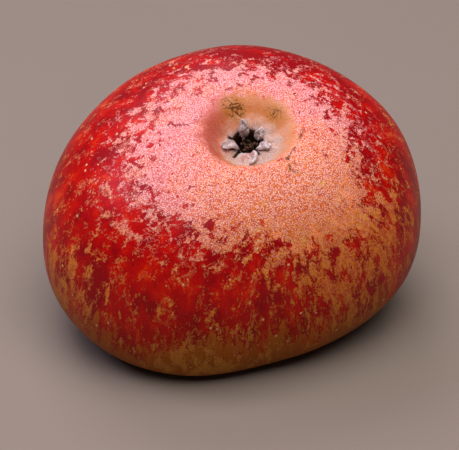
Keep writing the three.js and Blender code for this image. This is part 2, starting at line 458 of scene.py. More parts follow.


# %% [markdown]
# ## Two effects built once as node groups
# A soft patch is a round stain with a fading edge, for what changes slowly from place to place. Felt
# grain is the fine pale speckle that dry plant hair and rough skin both have. Each is built once as a
# node group: the skin places soft patches many times, and four finishes place felt grain, each with
# its own values.


# %% A soft round patch as a shared node group
def new_group(name, inputs, output):
    tree = bpy.data.node_groups.new(name, "ShaderNodeTree")
    for label, kind in inputs.items():
        tree.interface.new_socket(label, in_out="INPUT", socket_type="NodeSocket" + kind)
    tree.interface.new_socket(output, in_out="OUTPUT", socket_type="NodeSocketFloat")
    return tree, tree.nodes.new("NodeGroupInput").outputs


def group_ends(tree, value):
    tree.links.new(value, tree.nodes.new("NodeGroupOutput").inputs[0])
    return tree


def soft_patch_group():
    inputs = {"Place": "Vector", "Radius": "Float", "Strength": "Float", "Sum so far": "Float"}
    tree, given = new_group("soft_patch", inputs, "Sum")
    here = put(tree, "TexCoord").outputs["Object"]
    apart = vector_calc(tree, "DISTANCE", here, given["Place"], "Value")
    soft = ramp(tree, calc(tree, "DIVIDE", apart, given["Radius"]), 0, 1, low=1, high=0)
    sum_now = calc(tree, "MULTIPLY_ADD", soft, given["Strength"], given["Sum so far"])
    return group_ends(tree, sum_now)


SOFT_PATCH = soft_patch_group()


def patches(tree, start, rows):
    """Adds soft patches to a starting value. Each row is a turn, a climb, a radius and a strength."""
    found = start
    for turn, climb, radius, strength in rows:
        made = put(tree, "Group", node_tree=SOFT_PATCH)
        made.inputs["Place"].default_value = skin_point(radians(turn), radians(climb)) * MM
        made.inputs["Radius"].default_value = radius * MM
        made.inputs["Strength"].default_value = strength
        join(tree, found, made.inputs["Sum so far"])
        found = made.outputs["Sum"]
    return found


print("group:", SOFT_PATCH.name)

# %% Felt grain as a shared node group
HAIR_SHARE = 0.35
DUST_SHARE = 0.65


def felt_grain_group():
    tree, given = new_group("felt_grain", {"Place": "Vector", "Grains per mm": "Float"}, "Grain")
    dust = cloud(tree, given["Place"], given["Grains per mm"], detail=2, roughness=0.7)
    lengthways = stretched(tree, given["Place"], (1, 1, 0.35))
    hairs = cloud(tree, lengthways, given["Grains per mm"], detail=1)
    dust = times(tree, dust, DUST_SHARE)
    return group_ends(tree, calc(tree, "MULTIPLY_ADD", hairs, HAIR_SHARE, dust))


FELT_GRAIN = felt_grain_group()


def felt_grain(tree, place, per_mm):
    made = put(tree, "Group", node_tree=FELT_GRAIN)
    join(tree, place, made.inputs["Place"])
    made.inputs["Grains per mm"].default_value = per_mm
    return made.outputs["Grain"]


print("group:", FELT_GRAIN.name)

# %% [markdown]
# ## Where red and russet lie
# The ground colour of this apple is a yellow orange. The sun side is flushed with crimson in streaks
# that run from stem to eye. Over both lies russet, a thin rough tan crust. It closes up to a cap round
# the eye and is torn into flecks and strands further down. Painting that by hand would take a big
# picture file. Here a few round areas say how much russet and red each side gets, and torn clouds of
# noise break the borders.

# %% How far each place is from the eye
GIRDLE = skin_length * next(n for n, climb in enumerate(level_climbs) if climb >= 0) / LEVELS
BELOW_GIRDLE = 100

skin, tree = new_material("apple_skin")
way = put(tree, "Attribute", attribute_name="skin_way").outputs["Vector"]
place = millimetre_place(tree)
from_core = vector_calc(tree, "MULTIPLY", way, (1, 1, 0))
way_parts = put(tree, "SeparateXYZ", {"Vector": way}).outputs
below = calc(tree, "LESS_THAN", way_parts["Z"], GIRDLE)


def from_spot(x, y):
    """How far each place is from a spot beside the eye, in millimetres. Large below the girdle."""
    apart = vector_calc(tree, "DISTANCE", from_core, (x, y, 0), "Value")
    return calc(tree, "MULTIPLY_ADD", below, BELOW_GIRDLE, apart)


def total(*values):
    found = values[0]
    for value in values[1:]:
        found = calc(tree, "ADD", found, value)
    return found


def about_half(value, weight):
    """How far a cloud is above or below a half, times a weight."""
    return calc(tree, "MULTIPLY_ADD", value, weight, -0.5 * weight)


print("girdle, mm along the skin:", round(GIRDLE))

# %% How red and how russet each side is
RED_START = 0.32
RED_PATCHES = [
    (295, 60, 20, -0.6),
    (325, 47, 13, -0.42),
    (110, 88, 14, -0.6),
    (345, 62, 12, -0.2),
    (262, 30, 14, 0.1),
    (90, 50, 18, 0.3),
]
RUSSET_PATCHES = [
    (330, 22, 22, 0.42),
    (297, 30, 15, 0.2),
    (250, 36, 16, -0.05),
    (235, 52, 9, -0.16),
    (88, 56, 12, -0.12),
    (312, 4, 18, 0.26),
    (206, 10, 18, 0.42),
    (178, 48, 16, -0.08),
    (255, -8, 22, 0.34),
]
CAP_SPOT = (1.2, -5.2)
CAP_EDGE = (11.5, 30.5)
STEM_CAP_INSIDE = 14

red_bias = patches(tree, RED_START, RED_PATCHES)
russet_cap = ramp(tree, from_spot(*CAP_SPOT), *CAP_EDGE, low=0.44, high=-0.33)
stem_cap = ramp(tree, way_parts["Z"], STEM_CAP_INSIDE, GIRDLE, low=0.4, high=0)
russet_bias = patches(tree, total(russet_cap, stem_cap), RUSSET_PATCHES)
print("patches:", len(RED_PATCHES) + len(RUSSET_PATCHES))

# %% Torn borders
RED_TEARS_RUSSET = -0.5
RED_BORDER = (-0.04, 0.04)
RUSSET_BORDER = (-0.03, 0.06)

along_streaks = stretched(tree, way, (1, 1, 0.4))
along_flecks = stretched(tree, way, (1, 1, 0.32))
broad = cloud(tree, along_streaks, scale=0.11, detail=2)
torn = cloud(tree, along_flecks, scale=0.42, detail=7, roughness=0.66, distortion=0.3)
ragged = cloud(tree, place, scale=2.3, detail=2, roughness=0.7)
tear = total(about_half(torn, weight=1.5), about_half(ragged, weight=0.4))
redness = ramp(tree, total(red_bias, about_half(broad, weight=1), tear), *RED_BORDER)

russet_tear = cloud(tree, along_flecks, scale=0.5, detail=8, roughness=0.66, distortion=0.2)
russet_score = total(russet_bias, about_half(russet_tear, weight=3), about_half(ragged, weight=0.8))
russet_score = calc(tree, "MULTIPLY_ADD", tear, RED_TEARS_RUSSET, russet_score)
flecks = ramp(tree, russet_score, *RUSSET_BORDER)

# %% Thin strands of russet that run from stem to eye
STRAND_WIDTH = 0.035
STRANDS_NEAR_RUSSET = 0.35
STRAND_EDGE = (0.38, 0.46)

strands = cloud(tree, stretched(tree, way, (1, 1, 0.24)), scale=0.7, detail=5, roughness=0.62)
strand_middle = calc(tree, "ABSOLUTE", about_half(strands, weight=1))
strand_line = ramp(tree, strand_middle, STRAND_WIDTH, 0)
strand_part = total(cloud(tree, way, scale=0.4), times(tree, russet_score, STRANDS_NEAR_RUSSET))
strand_cover = ramp(tree, strand_part, *STRAND_EDGE, high=0.85)
russet = calc(tree, "MAXIMUM", flecks, times(tree, strand_line, strand_cover))
print("skin material nodes so far:", len(tree.nodes))

# %% [markdown]
# ## The paints of the skin
# The reds go from crimson to a red orange in soft streaks, and round a spot on the far side of the
# crown they are pushed to crimson as painted shade. Low down, near the floor, the ground colour turns
# ochre and the red gets dull and torn; this darker paint is partly the duller base of the fruit and
# partly painted shade of the underside. The russet is tan, rose, amber or ochre from place to place,
# with pale grains painted as glints, more of them towards the eye, where the dry cells catch the light.
# Small pale corky dots, the lenticels, are the pores of the fruit.

# %% Streaks of red, with painted shade on the far side of the crown
CRIMSON = paint("8E0108")
DEEP_RED = paint("AA0303")
RED = paint("BE0C00")
RED_ORANGE = paint("D43E06")
PAINTED_SHADE_SPOT = (2, 27)
PAINTED_SHADE_EDGE = (18, 6)

flush = cloud(tree, along_streaks, scale=0.2, detail=6, roughness=0.6)
# Painted shade: round a spot on the far side of the crown the reds are pushed towards crimson.
shaded = ramp(tree, from_spot(*PAINTED_SHADE_SPOT), *PAINTED_SHADE_EDGE, high=0.14)
mottle = calc(tree, "SUBTRACT", total(flush, about_half(ragged, weight=0.3)), shaded)
reds = blend(tree, ramp(tree, mottle, 0.4, 0.5), CRIMSON, DEEP_RED)
reds = blend(tree, ramp(tree, mottle, 0.5, 0.6), reds, RED)
reds = blend(tree, ramp(tree, mottle, 0.59, 0.7, high=0.8), reds, RED_ORANGE)

# %% Orange ground that turns ochre low down, partly with painted shade
ORANGE = paint("E9752E")
GOLD = paint("DE9030")
OCHRE_WITH_SHADE = paint("965606")
DULL_RED_WITH_SHADE = paint("841400")
OCHRE_AND_SHADE_EDGE = (4, 26)
LOW_TEAR = (0.6, 0.95)

golden = cloud(tree, way, scale=0.12, detail=3)
ground = blend(tree, ramp(tree, golden, 0.45, 0.65), ORANGE, GOLD)
height = put(tree, "SeparateXYZ", {"Vector": place}).outputs["Z"]
height = total(height, about_half(broad, weight=14), about_half(russet_tear, weight=12))
# Darker towards the floor: the ochre ground and the dull red are partly the duller base of the fruit
# and partly painted shade of the underside, by height above the ground.
low_ochre_and_shade = ramp(tree, height, *OCHRE_AND_SHADE_EDGE, low=1, high=0)
ground = blend(tree, low_ochre_and_shade, ground, OCHRE_WITH_SHADE)
reds = blend(tree, ramp(tree, low_ochre_and_shade, 0, 1, high=0.6), reds, DULL_RED_WITH_SHADE)
torn_low = total(low_ochre_and_shade, about_half(russet_tear, weight=-2), about_half(ragged, weight=0.6))
still_red = times(tree, redness, ramp(tree, torn_low, *LOW_TEAR, low=1, high=0.25))
bare_skin = blend(tree, still_red, ground, reds)
print("ochre up to, mm above the ground:", OCHRE_AND_SHADE_EDGE[1])

# %% Russet in four tints
RUSSET_TAN = paint("E07C4A")
RUSSET_DULL = paint("C45020")
RUSSET_ROSE = paint("D27070")
RUSSET_AMBER = paint("D67A1E")
RUSSET_OCHRE_WITH_SHADE = paint("AE7220")
AMBER_EDGE = (GIRDLE + 38, GIRDLE + 20)
ORANGE_SPOT = (9, -17)
ORANGE_EDGE = (13, 26)
ROSE_EDGE = (GIRDLE + 20, GIRDLE + 34)

dull = cloud(tree, along_flecks, scale=0.9, detail=6, roughness=0.65)
dull = total(dull, about_half(ragged, weight=0.8))
amber = ramp(tree, way_parts["Z"], *AMBER_EDGE)
russet_paint = blend(tree, amber, RUSSET_TAN, RUSSET_AMBER)
russet_paint = blend(tree, ramp(tree, dull, 0.42, 0.58), RUSSET_DULL, russet_paint)
rosy = times(
    tree,
    ramp(tree, from_spot(*ORANGE_SPOT), *ORANGE_EDGE, high=0.8),
    ramp(tree, way_parts["Z"], *ROSE_EDGE),
    ramp(tree, cloud(tree, place, scale=0.2), 0.38, 0.56, low=0.45),
)
russet_paint = blend(tree, rosy, russet_paint, RUSSET_ROSE)
# Low down the russet turns ochre too, partly its own tint and partly painted shade of the underside.
russet_paint = blend(tree, low_ochre_and_shade, russet_paint, RUSSET_OCHRE_WITH_SHADE)
worn = cloud(tree, place, scale=1.4, detail=3, roughness=0.6)
covered = times(tree, russet, ramp(tree, worn, 0.36, 0.46, low=0.62, high=0.94))
colour = blend(tree, covered, bare_skin, russet_paint)

# %% Pale grains on the russet, painted as glints
GLINT_PALE = paint("FACCC8")
GRAIN_EDGE = (0.54, 0.28)
GLINTS_EDGE = (GIRDLE + 14, GIRDLE + 38)

# Painted glints: pale dots for light caught by the dry cells, more of them towards the eye, where the
# light falls from above. The same dots also stand up a little as a bump.
grains_and_glints = ramp(tree, from_dots(tree, place, scale=3.8), *GRAIN_EDGE)
glint_share = ramp(tree, way_parts["Z"], *GLINTS_EDGE, low=0.1, high=0.8)
glint_places = calc(tree, "MAXIMUM", covered, calc(tree, "SUBTRACT", 1, redness))
colour = blend(tree, times(tree, grains_and_glints, glint_share, glint_places), colour, GLINT_PALE)

# %% Lenticels
LENTICEL = paint("E8C48A")
LENTICEL_EDGE = (0.15, 0.125)
LENTICEL_RAGGEDNESS = 0.12
HIDDEN_BY_RUSSET = 0.8

pores = from_dots(tree, place, scale=0.3)
pore_edge = calc(tree, "MULTIPLY_ADD", ragged, LENTICEL_RAGGEDNESS, pores)
lenticels = ramp(tree, pore_edge, *LENTICEL_EDGE, high=0.7)
bare_here = calc(tree, "SUBTRACT", 1, times(tree, russet, HIDDEN_BY_RUSSET))
colour = blend(tree, times(tree, lenticels, bare_here), colour, LENTICEL)

# %% [markdown]
# ## The basin of the eye
# Inside the basin the skin is thin, smooth and golden, without grains. Round the sepals it is covered
# with the same grey felt that the sepals have, slits run out between them, and two scabs of curled
# brown cork have grown on the far wall. The opening of the tube and the slits are painted dark brown,
# partly the brown of the dried tissue and partly painted shade in the hollows. Beside the basin runs a
# thin crack with corky edges. All of it is small and has its own place, so it is laid over the skin by
# its distance from spots near the eye.

# %% Golden wall and felt floor
BASIN_GOLD = paint("B86A24")
BASIN_ROSE = paint("B24E38")
BASIN_PEACH = paint("CA8450")
FELT_FLOOR = paint("BCA89A")
FELT_ROSE = paint("AE7C68")
TUBE_BROWN_AND_SHADE = paint("2E1A0C")
BASIN_SPOT = (0.4, 0)
BASIN_EDGE = (10.6, 8)
BASIN_COVER = 0.85
PEACH_SIDE = (2, 9)
ROSE_SIDE = (-2, -7)
FELT_SPOT = (1.2, -1.6)
FELT_FLOOR_EDGE = (7.8, 4)
TUBE_EDGE = (3.4, 3)

wobble = about_half(cloud(tree, place, scale=0.5), weight=6)
basin = ramp(tree, total(from_spot(*BASIN_SPOT), wobble), *BASIN_EDGE)
peach = ramp(tree, way_parts["X"], *PEACH_SIDE)
wall = blend(tree, peach, BASIN_GOLD, BASIN_PEACH)
wall = blend(tree, ramp(tree, way_parts["X"], *ROSE_SIDE), wall, BASIN_ROSE)
colour = blend(tree, times(tree, basin, BASIN_COVER), colour, wall)

nap = felt_grain(tree, place, per_mm=4)
felt_floor = blend(tree, ramp(tree, nap, 0.4, 0.6), FELT_ROSE, FELT_FLOOR)
felted = ramp(tree, total(from_spot(*FELT_SPOT), wobble), *FELT_FLOOR_EDGE)
colour = blend(tree, felted, colour, felt_floor)
# The opening of the tube is painted dark brown: partly dried tissue, partly painted shade in the hole.
in_tube = ramp(tree, from_spot(0, 0), *TUBE_EDGE)
colour = blend(tree, in_tube, colour, TUBE_BROWN_AND_SHADE)
print("basin wall, mm from the eye:", BASIN_EDGE)

# %% Slits between the sepals, painted dark brown with painted shade
SLIT_EDGE = (0.45, 0.25)
SLIT_TIP = 0.6


def slit_mask(turn, reach):
    """1 in the narrow slit that runs outwards from the eye, 0 beside and beyond it."""
    end = Vector((cos(turn), sin(turn), 0)) * reach
    nearest = vector_calc(tree, "PROJECT", from_core, end)
    aside = vector_calc(tree, "DISTANCE", from_core, nearest, "Value")
    ahead = vector_calc(tree, "DOT_PRODUCT", from_core, end, "Value")
    return times(
        tree,
        ramp(tree, aside, *SLIT_EDGE),
        calc(tree, "GREATER_THAN", ahead, 0),
        ramp(tree, from_spot(0, 0), reach, reach - SLIT_TIP),
    )


# Each slit is painted dark brown: partly dried tissue, partly painted shade in the gap.
for turn, reach in SLITS:
    colour = blend(tree, slit_mask(radians(turn), reach), colour, TUBE_BROWN_AND_SHADE)
print("slits painted:", len(SLITS))

# %% Scabs of curled cork
SCAB_STAIN = paint("A66A20")
SCAB_BROWN = paint("4A2810")
SCAB_START = -0.3
SCABS = [
    (116, 82.4, 4.6, 0.6),
    (120, 80.5, 3.0, 0.15),
    (104, 83.7, 2.6, 0.35),
    (45, 81.5, 4.8, 0.52),
    (318, 75, 0.9, 0.85),
    (318, 71.5, 0.6, 0.7),
    (310, 69.7, 0.7, 0.8),
    (315, 68.2, 0.8, 0.7),
    (358, 75.9, 0.6, 0.7),
    (352, 75.6, 0.5, 0.7),
]
CURL_BORDER = (-0.05, 0.1)
STAIN_BORDER = (-0.25, 0.25)

scab_bias = patches(tree, SCAB_START, SCABS)
scab_tear = cloud(tree, place, scale=0.5, detail=2, roughness=0.5, distortion=1.4)
scab_curls = calc(tree, "ABSOLUTE", about_half(scab_tear, weight=9))
curl_score = calc(tree, "SUBTRACT", scab_bias, scab_curls)
scabs = ramp(tree, curl_score, *CURL_BORDER, high=0.85)
colour = blend(tree, ramp(tree, scab_bias, *STAIN_BORDER, high=0.5), colour, SCAB_STAIN)
colour = blend(tree, scabs, colour, SCAB_BROWN)
print("scabs and corky dots:", len(SCABS))

# %% Corky crack beside the basin
CORK_CRACKS = [
    ((11.2, 0.4), (9.9, -4.7)),
    ((9.9, -4.7), (8.7, -7.8)),
    ((8.7, -7.8), (9.6, -11.4)),
    ((9.6, -11.4), (11.4, -11.4)),
]
CRACK_EDGES = (0.38, 0.16)
CRACK_TIP = 0.3

crack_wander = about_half(cloud(tree, place, scale=0.7, detail=3), weight=1.2)
crack_parts = cloud(tree, place, scale=1.3, detail=2, roughness=0.6)
crack_parts = ramp(tree, crack_parts, 0.44, 0.54, high=0.72)


def crack_mask(start, end):
    """1 on the thin line between two spots beside the eye, 0 aside of it and past its ends."""
    start, end = Vector((*start, 0)), Vector((*end, 0))
    run = (end - start).normalized()
    across = Vector((-run.y, run.x, 0))
    half = (end - start).length / 2
    apart = vector_calc(tree, "SUBTRACT", from_core, (start + end) / 2)
    along = calc(tree, "ABSOLUTE", vector_calc(tree, "DOT_PRODUCT", apart, run, "Value"))
    aside = total(vector_calc(tree, "DOT_PRODUCT", apart, across, "Value"), crack_wander)
    aside = calc(tree, "MULTIPLY_ADD", below, BELOW_GIRDLE, calc(tree, "ABSOLUTE", aside))
    line = ramp(tree, aside, *CRACK_EDGES)
    return times(tree, line, ramp(tree, along, half + CRACK_TIP, half))


for start, end in CORK_CRACKS:
    colour = blend(tree, times(tree, crack_mask(start, end), crack_parts), colour, SCAB_BROWN)
print("pieces of the crack:", len(CORK_CRACKS))

# %% [markdown]
# ## The finish of the skin
# Bare apple skin has a thin coat of wax, and russet has none, so the coat is weak where the crust lies
# and low down, and the crust is rougher. The grains, the felt and the scabs also stand up a little, by
# a bump, because they are finer than the mesh.

# %% Wax, roughness and fine bumps
GRAIN_RISE, CRUST_RISE = 0.6, 0.6
FELT_NAP_RISE = 2.5

crust = times(tree, calc(tree, "MAXIMUM", russet, felted), calc(tree, "SUBTRACT", 1, basin))
rough = calc(tree, "MAXIMUM", calc(tree, "MAXIMUM", crust, felted), scabs)
rises = times(tree, crust, calc(tree, "MULTIPLY_ADD", grains_and_glints, GRAIN_RISE, CRUST_RISE))
rises = total(rises, scabs, times(tree, nap, times(tree, felted, FELT_NAP_RISE)))
waxy = ramp(tree, low_ochre_and_shade, 0, 1, low=1, high=0.25)
finish(
    fruit,
    skin,
    {
        "Base Color": colour,
        "Roughness": ramp(tree, rough, 0, 1, low=0.42, high=0.6),
        "Specular IOR Level": 0.06,
        "Coat Weight": times(tree, waxy, ramp(tree, rough, 0, 1, low=0.26, high=0.1)),
        "Coat Roughness": 0.36,
        "Normal": bumped(tree, rises, distance_mm=0.05),
    },
)
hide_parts("fruit_body")
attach(fruit, "root")
print("skin material nodes:", len(tree.nodes))

# %% [markdown]
# ## The sepals
# The five sepals are what is left of the green leaves behind the flower. They have dried into thick
# grey felted tongues that stand round the opening, and each one curls its own way. One tongue is
# shaped from a flat grid: its rows follow a curve that tips outwards, its sides are narrowed, and a
# solidify modifier gives it thickness. The real ones differ in length, width and curl, and the front
# one lies flat with its right side rolled up, so each gets its own numbers instead of being a copy.

# %% Numbers of the sepals
# turn, root radius, length, width, root tilt, tip tilt, share of the length that bends,
# cup of both sides, curl of the right side, width kept at the tip, blush
SEPALS = [
    (107, 2.3, 4.7, 2.1, -4, 24, 1.0, 0.2, 0.0, 0.5, 0.0),
    (39, 2.6, 3.1, 2.0, -8, 62, 1.0, 0.3, 0.0, 0.35, 0.1),
    (333, 2.6, 3.9, 2.0, -14, 88, 0.85, 0.35, 0.2, 0.8, 0.1),
    (274, 2.75, 4.2, 4.0, -12, 98, 0.5, 0.15, 1.3, 0.9, 1.0),
    (205, 2.5, 4.6, 2.2, -14, 88, 0.8, 0.35, 0.1, 0.95, 0.35),
]
SEPAL_SUNK = 1.15
BEND_STEPS = 24


def sepal_line(root, length, root_tilt, tip_tilt, bending, along):
    """How far out and how high the middle of a sepal is, and how far it tips there."""
    out, up = root, -SEPAL_SUNK

    def tilt_at(share):
        return radians(root_tilt + (tip_tilt - root_tilt) * min(1, share / bending))

    for step in range(BEND_STEPS):
        tilt = tilt_at(along * (step + 0.5) / BEND_STEPS)
        out += length * along / BEND_STEPS * sin(tilt)
        up += length * along / BEND_STEPS * cos(tilt)
    return out, up, tilt_at(along)


print("sepals:", len(SEPALS))


# %% Helpers for modifiers and stored numbers
def apply_modifier(thing, kind, **settings):
    only(thing)
    made = thing.modifiers.new(kind.lower(), kind)
    for name, value in settings.items():
        setattr(made, name, value)
    bpy.ops.object.modifier_apply(modifier=made.name)


def add_values(thing, name, values):
    """Stores one number with every vertex, for a material to read."""
    thing.data.attributes.new(name, "FLOAT", "POINT")
    thing.data.attributes[name].data.foreach_set("value", values)


# %% Shape each sepal from a grid
SEPAL_ROWS = 18
SEPAL_COLUMNS = 12
SEPAL_THICKNESS = 0.85
SEPAL_TIP_THINNING = 0.3
SEPAL_ROOT_WIDTH = 0.6
WIDENING = (0.1, 0.5)
TAPER_START = 0.45
TIP_ROUNDNESS = 6
TIP_BLUNTNESS = 1.02
SEPAL_CRUMPLE = 0.35
CRUMPLES_ACROSS, CRUMPLES_ALONG = 1.1, 0.9
CRUMPLE_LAYER = 3
CRUMPLE_AT_ROOT = 0.4
CURLING = (0.1, 0.45)
CURL_DRAWS_IN = 0.4


def taper_at(along, tip_width):
    """The share of its width that a sepal has there: less at the root and at the rounded tip."""
    wide = SEPAL_ROOT_WIDTH + (1 - SEPAL_ROOT_WIDTH) * smoothstep(along, *WIDENING)
    wide *= 1 - (1 - tip_width) * smoothstep(along, TAPER_START, 1)
    return wide * sqrt(TIP_BLUNTNESS - along**TIP_ROUNDNESS)


def sepal(turn, root, length, width, root_tilt, tip_tilt, bending, cup, curl, tip_width, blush):
    blade = new_primitive(
        "sepal", bpy.ops.mesh.primitive_grid_add,
        x_subdivisions=SEPAL_COLUMNS, y_subdivisions=SEPAL_ROWS, size=1,
    )
    thin = blade.vertex_groups.new(name="thin")
    rims = []
    for vertex in blade.data.vertices:
        side, along = 2 * vertex.co.x, vertex.co.y + 0.5
        out, up, tilt = sepal_line(root, length, root_tilt, tip_tilt, bending, along)
        across = side * width / 2 * taper_at(along, tip_width)
        x, y = turn + across * CRUMPLES_ACROSS, along * length * CRUMPLES_ALONG
        crumple = SEPAL_CRUMPLE * noise.noise(Vector((x, y, CRUMPLE_LAYER)))
        lift = cup * along * side**2 - crumple * (CRUMPLE_AT_ROOT + along)
        curled = curl * max(0, side) ** 2 * smoothstep(along, *CURLING)
        lift += curled
        across -= CURL_DRAWS_IN * curled
        here = Vector((out - lift * cos(tilt), across, up + lift * sin(tilt)))
        vertex.co = Matrix.Rotation(radians(turn), 3, "Z") @ here
        thin.add([vertex.index], 1 - SEPAL_TIP_THINNING * along, "REPLACE")
        rims.append(max(side**4, along**6))
    add_values(blade, "rim", rims)
    add_values(blade, "blush", [blush] * len(rims))
    apply_modifier(blade, "SOLIDIFY", thickness=SEPAL_THICKNESS, offset=0, vertex_group="thin")
    apply_modifier(blade, "SUBSURF", levels=1, render_levels=1)
    blade.vertex_groups.clear()
    return blade


sepals = [sepal(*row) for row in SEPALS]
print("triangles of each sepal:", [triangle_count(blade) for blade in sepals])

# %% [markdown]
# ## The collar under the sepals
# The sepals grow out of a low swollen collar round the opening. A torus primitive is a good start,
# because the collar is a ring too. It swells below each sepal, and between two sepals it draws back
# and sinks, so that the opening is a dark star and not a round hole.


# %% Helpers that join and turn pieces
def join_as(name, pieces):
    deselect_all()
    for piece in pieces:
        piece.select_set(True)
    bpy.context.view_layer.objects.active = pieces[0]
    bpy.ops.object.join()
    pieces[0].name = name
    pieces[0].data.name = name
    return pieces[0]


def recalculate(thing):
    """Turns every face outwards."""
    only(thing)
    mode("EDIT")
    bpy.ops.mesh.select_all(action="SELECT")
    bpy.ops.mesh.normals_make_consistent(inside=False)
    mode("OBJECT")


def stand_in_eye(thing):
    """Moves a piece made round zero to the floor of the eye, and leans it as the fruit does."""
    thing.data.transform(Matrix.Scale(MM, 4) @ EYE_WAY)
    only(thing)
    bpy.ops.object.shade_smooth()


# %% Shape the collar from a torus and join the sepals to it
COLLAR_RADIUS = 3.1
COLLAR_THICKNESS = 0.6
COLLAR_HEIGHT = -0.6
COLLAR_DRAWS_BACK = 0.25
COLLAR_SINKS = 0.5
COLLAR_SWELL = 0.2
COLLAR_UNEVENNESS = 0.15
COLLAR_LUMPS_PER_MM = 1.7
UNEVEN_SIDEWAYS = 0.3
SWELL_FULL, SWELL_END = 0.7, 1.2


def swell_at(turn):
    """1 below a sepal, 0 half way between two."""
    shares = []
    for row in SEPALS:
        apart = turn_apart(turn, radians(row[0]))
        half_width = row[3] / 2 / COLLAR_RADIUS
        shares.append(1 - smoothstep(apart, SWELL_FULL * half_width, SWELL_END * half_width))
    return max(shares)


collar = new_primitive(
    "collar", bpy.ops.mesh.primitive_torus_add,
    major_radius=COLLAR_RADIUS, minor_radius=COLLAR_THICKNESS, major_segments=60, minor_segments=14,
)
for vertex in collar.data.vertices:
    swell = swell_at(atan2(vertex.co.y, vertex.co.x))
    uneven = COLLAR_UNEVENNESS * noise.noise(vertex.co * COLLAR_LUMPS_PER_MM)
    away = 1 + COLLAR_DRAWS_BACK / COLLAR_RADIUS * (1 - swell) + UNEVEN_SIDEWAYS * uneven
    vertex.co.x *= away
    vertex.co.y *= away
    height = vertex.co.z * (1 + COLLAR_SWELL * swell + uneven)
    vertex.co.z = height + COLLAR_HEIGHT - COLLAR_SINKS * (1 - swell)
for name in ("rim", "blush"):
    add_values(collar, name, [0.0] * len(collar.data.vertices))
calyx = join_as("dried_sepals", [collar, *sepals])
recalculate(calyx)
add_values(calyx, "above_floor", [vertex.co.z for vertex in calyx.data.vertices])
stand_in_eye(calyx)
print("sepal triangles:", triangle_count(calyx))

# %% [markdown]
# ## The felt of the sepals
# Dry plant hair is pale on top and brown where it has rubbed off. The rims stay pale, the rolled inside
# of the front sepal has a rosy blush, and the collar is painted dark where it sinks into the eye, as
# painted shade. The pieces keep their rim, blush and height as numbers, because no plain pattern
# follows a curled blade.

# %% Grey felt with brown rubs
FELT_LIGHT = paint("D2C4C0")
FELT_GREY = paint("A8948C")
FELT_BROWN = paint("765446")
FELT_BLUSH = paint("A87462")
FELT_SHADE = paint("2C1A0E")
RIM_EDGE = (0.9, 0.4)
SHADE_EDGE = (0.05, -0.7)

felt, tree = new_material("dried_sepals")
place = millimetre_place(tree)
nap = felt_grain(tree, place, per_mm=5)
rubs = cloud(tree, place, scale=0.9)
colour = blend(tree, ramp(tree, nap, 0.42, 0.58), FELT_GREY, FELT_LIGHT)
colour = blend(tree, ramp(tree, rubs, 0.5, 0.62, high=0.75), colour, FELT_BROWN)
inside = times(tree, stored(tree, "blush"), ramp(tree, stored(tree, "rim"), *RIM_EDGE))
blushing = times(tree, inside, ramp(tree, rubs, 0.35, 0.5, low=0.4, high=0.9))
colour = blend(tree, blushing, colour, FELT_BLUSH)
# Painted shade: the felt turns dark brown below the floor of the eye, where the collar sinks.
sunk_shade = ramp(tree, stored(tree, "above_floor"), *SHADE_EDGE)
colour = blend(tree, sunk_shade, colour, FELT_SHADE)
bump = bumped(tree, nap, distance_mm=0.12)
finish(calyx, felt, {"Base Color": colour, "Roughness": 0.95, "Normal": bump})
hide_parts("calyx_sepals")
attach(calyx, "root")
print("felt material nodes:", len(tree.nodes))

# %% [markdown]
# ## The stamens and styles
# Inside the eye a dark tuft of dried stamens stands on a pad, with the five styles in its middle. One
# thread is modelled from a thin cylinder that is cut across its length, so that it can bend, with a
# withered bead at its tip. It is then copied, and each copy gets its own mesh, height and bend.

# %% Model one thread
THREAD_RADIUS = 0.17
THREAD_LENGTH = 4.2
THREAD_CUTS = 6
BEAD_RADIUS = THREAD_RADIUS * 1.7


def cut_across(thing, shortest, cuts):
    """Cuts every upright edge of a cylinder that is longer than shortest into equal lengths."""
    only(thing)
    mode("EDIT")
    bpy.ops.mesh.select_all(action="DESELECT")
    mode("OBJECT")
    for edge in thing.data.edges:
        low, high = (thing.data.vertices[corner].co.z for corner in edge.vertices)
        edge.select = abs(low - high) > shortest
    mode("EDIT")
    bpy.ops.mesh.select_mode(type="EDGE")
    bpy.ops.mesh.subdivide(number_cuts=cuts)
    bpy.ops.mesh.select_all(action="DESELECT")
    mode("OBJECT")


def thread():
    stalk = new_primitive(
        "thread", bpy.ops.mesh.primitive_cylinder_add,
        vertices=6, radius=THREAD_RADIUS, depth=THREAD_LENGTH, location=(0, 0, 0),
    )
    cut_across(stalk, THREAD_LENGTH / 2, THREAD_CUTS)
    bead = new_primitive(
        "bead", bpy.ops.mesh.primitive_uv_sphere_add,
        segments=8, ring_count=5, radius=BEAD_RADIUS,
        location=(0, 0, THREAD_LENGTH / 2), scale=(0.8, 1.3, 1.5),
    )
    bpy.ops.object.transform_apply(location=True, scale=True)
    return join_as("thread", [stalk, bead])


template = thread()
print("triangles of one thread:", triangle_count(template))

# %% Copy the thread into a tuft
TUFT_FLOOR = -4.1
THREAD_BOW = 0.3
STAMENS = 20
STAMEN_STRAY = 0.3
STAMEN_RING = (1.1, 1.6)
STAMEN_TOP = (-1.5, -0.2)
STAMEN_LEAN = (-0.5, 0.4)
STYLES = 5
STYLE_RING = 0.42
STYLE_TOP = (-1.5, -0.8)
STYLE_LEAN = 0.1


def own_copy(thing):
    made = thing.copy()
    made.data = thing.data.copy()
    bpy.context.scene.collection.objects.link(made)
    return made


